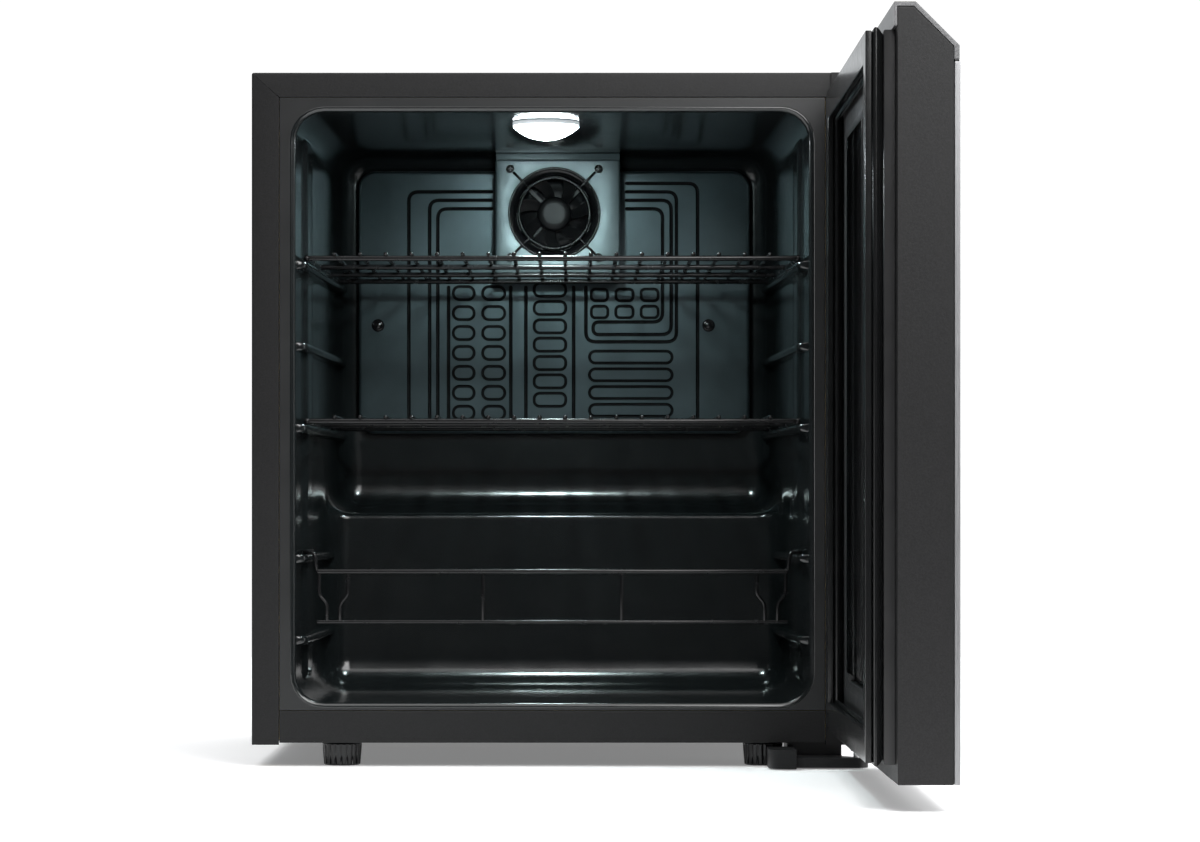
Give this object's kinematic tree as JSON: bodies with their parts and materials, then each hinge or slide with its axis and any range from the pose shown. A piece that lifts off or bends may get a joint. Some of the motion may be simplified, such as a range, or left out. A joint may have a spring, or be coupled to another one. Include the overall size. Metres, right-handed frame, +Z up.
{
  "type": "mini fridge",
  "caption": "Compact cabinet fridge with a glazed hinged door, wire shelves, a bottle guard, an interior lamp and fan, levelling feet and a rear cooling unit.",
  "frame": {"origin": "on the floor, under the middle of the box round the fridge with its door open at a right angle", "axes": "+X to the right seen from the front, +Y from the front to the back, +Z up"},
  "size_m": [0.476, 0.9098, 0.508],
  "materials": {
    "charcoal_paint": "satin",
    "black_liner": "gloss",
    "galvanised_steel": "satin",
    "foam": "matte",
    "cold_plate": "satin",
    "fan_shroud": "satin",
    "black_plastic": "satin",
    "rubber": "matte",
    "black_wire": "gloss",
    "lamp_lens": "gloss",
    "white_plastic": "satin",
    "door_cap": "satin",
    "brushed_panel": "satin",
    "door_glass": "gloss",
    "spacer_metal": "satin",
    "compressor_black": "gloss",
    "copper": "satin",
    "zinc": "satin"
  },
  "bodies": {
    "cabinet": {"outer_casing": "charcoal_paint", "back_panel": "charcoal_paint", "front_trim": "charcoal_paint", "bottom_panel": "galvanised_steel", "compressor_bay_wall": "galvanised_steel", "compressor_deck": "galvanised_steel", "inner_liner": "black_liner", "insulation_foam": "foam", "evaporator_plate": "cold_plate", "evaporator_screw_left": "zinc", "evaporator_screw_right": "zinc", "fan_cover": "fan_shroud", "fan_guard": "black_wire", "fan_frame": "black_plastic", "fan_motor": "galvanised_steel", "door_switch": "white_plastic", "lamp_base": "white_plastic", "lamp_lens": "lamp_lens", "rear_foot_left": "rubber", "rear_foot_right": "rubber", "condenser_bracket_left": "black_plastic", "condenser_bracket_right": "black_plastic", "compressor": "compressor_black", "compressor_mount_1": "rubber", "compressor_mount_2": "rubber", "compressor_mount_3": "rubber", "compressor_mount_4": "rubber", "compressor_relay_cover": "black_plastic", "drip_tray": "black_plastic", "discharge_line": "copper", "suction_line": "copper", "filter_drier": "copper", "condenser_coil": "black_wire", "thermostat_housing": "black_plastic", "power_inlet": "black_plastic", "lower_hinge_bracket": "black_plastic", "lower_hinge_pin": "zinc", "upper_hinge_bracket": "charcoal_paint", "upper_hinge_pin": "zinc"},
    "door": {"door_stile_free": "charcoal_paint", "door_stile_hinge": "charcoal_paint", "door_top_rail": "charcoal_paint", "door_bottom_rail": "charcoal_paint", "door_top_cap": "door_cap", "door_front_panel": "brushed_panel", "door_front_glass": "door_glass", "door_middle_glass": "door_glass", "door_inner_glass": "door_glass", "door_bezel": "black_plastic", "door_gasket": "rubber", "door_lug": "black_plastic", "door_knuckle": "charcoal_paint", "glazing_spacer": "spacer_metal"},
    "upper_shelf_body": {"upper_shelf": "black_wire"},
    "lower_shelf_body": {"lower_shelf": "black_wire"},
    "bottle_guard_body": {"bottle_guard": "black_wire"},
    "fan_rotor": {"fan_impeller": "black_plastic"},
    "front_foot_left_body": {"front_foot_left": "black_plastic"},
    "front_foot_right_body": {"front_foot_right": "black_plastic"},
    "thermostat_dial": {"thermostat_knob": "black_plastic"}
  },
  "joints": [
    {"name": "door_hinge", "type": "hinge", "parent": "cabinet", "child": "door", "pos_m": [0.20295, -0.0141, 0.25], "axis": [0, 0, 1], "range_deg": [-90, 30]},
    {"name": "upper_shelf_slide", "type": "slide", "parent": "cabinet", "child": "upper_shelf_body", "axis": [0, -1, 0], "range_m": [0, 0.3]},
    {"name": "lower_shelf_slide", "type": "slide", "parent": "cabinet", "child": "lower_shelf_body", "axis": [0, -1, 0], "range_m": [0, 0.3]},
    {"name": "bottle_guard_slide", "type": "slide", "parent": "cabinet", "child": "bottle_guard_body", "axis": [0, -1, 0], "range_m": [0, 0.08]},
    {"name": "fan_spin", "type": "hinge", "parent": "cabinet", "child": "fan_rotor", "pos_m": [-0.01785, 0.3794, 0.4296], "axis": [0, 1, 0], "continuous": true},
    {"name": "front_foot_left_turn", "type": "hinge", "parent": "cabinet", "child": "front_foot_left_body", "pos_m": [-0.17305, 0.0344, 0.008], "axis": [0, 0, 1], "continuous": true},
    {"name": "front_foot_right_turn", "type": "hinge", "parent": "cabinet", "child": "front_foot_right_body", "pos_m": [0.13695, 0.0344, 0.008], "axis": [0, 0, 1], "continuous": true},
    {"name": "thermostat_turn", "type": "hinge", "parent": "cabinet", "child": "thermostat_dial", "pos_m": [-0.19305, 0.4364, 0.128], "axis": [0, 1, 0], "range_deg": [0, 270]}
  ]
}
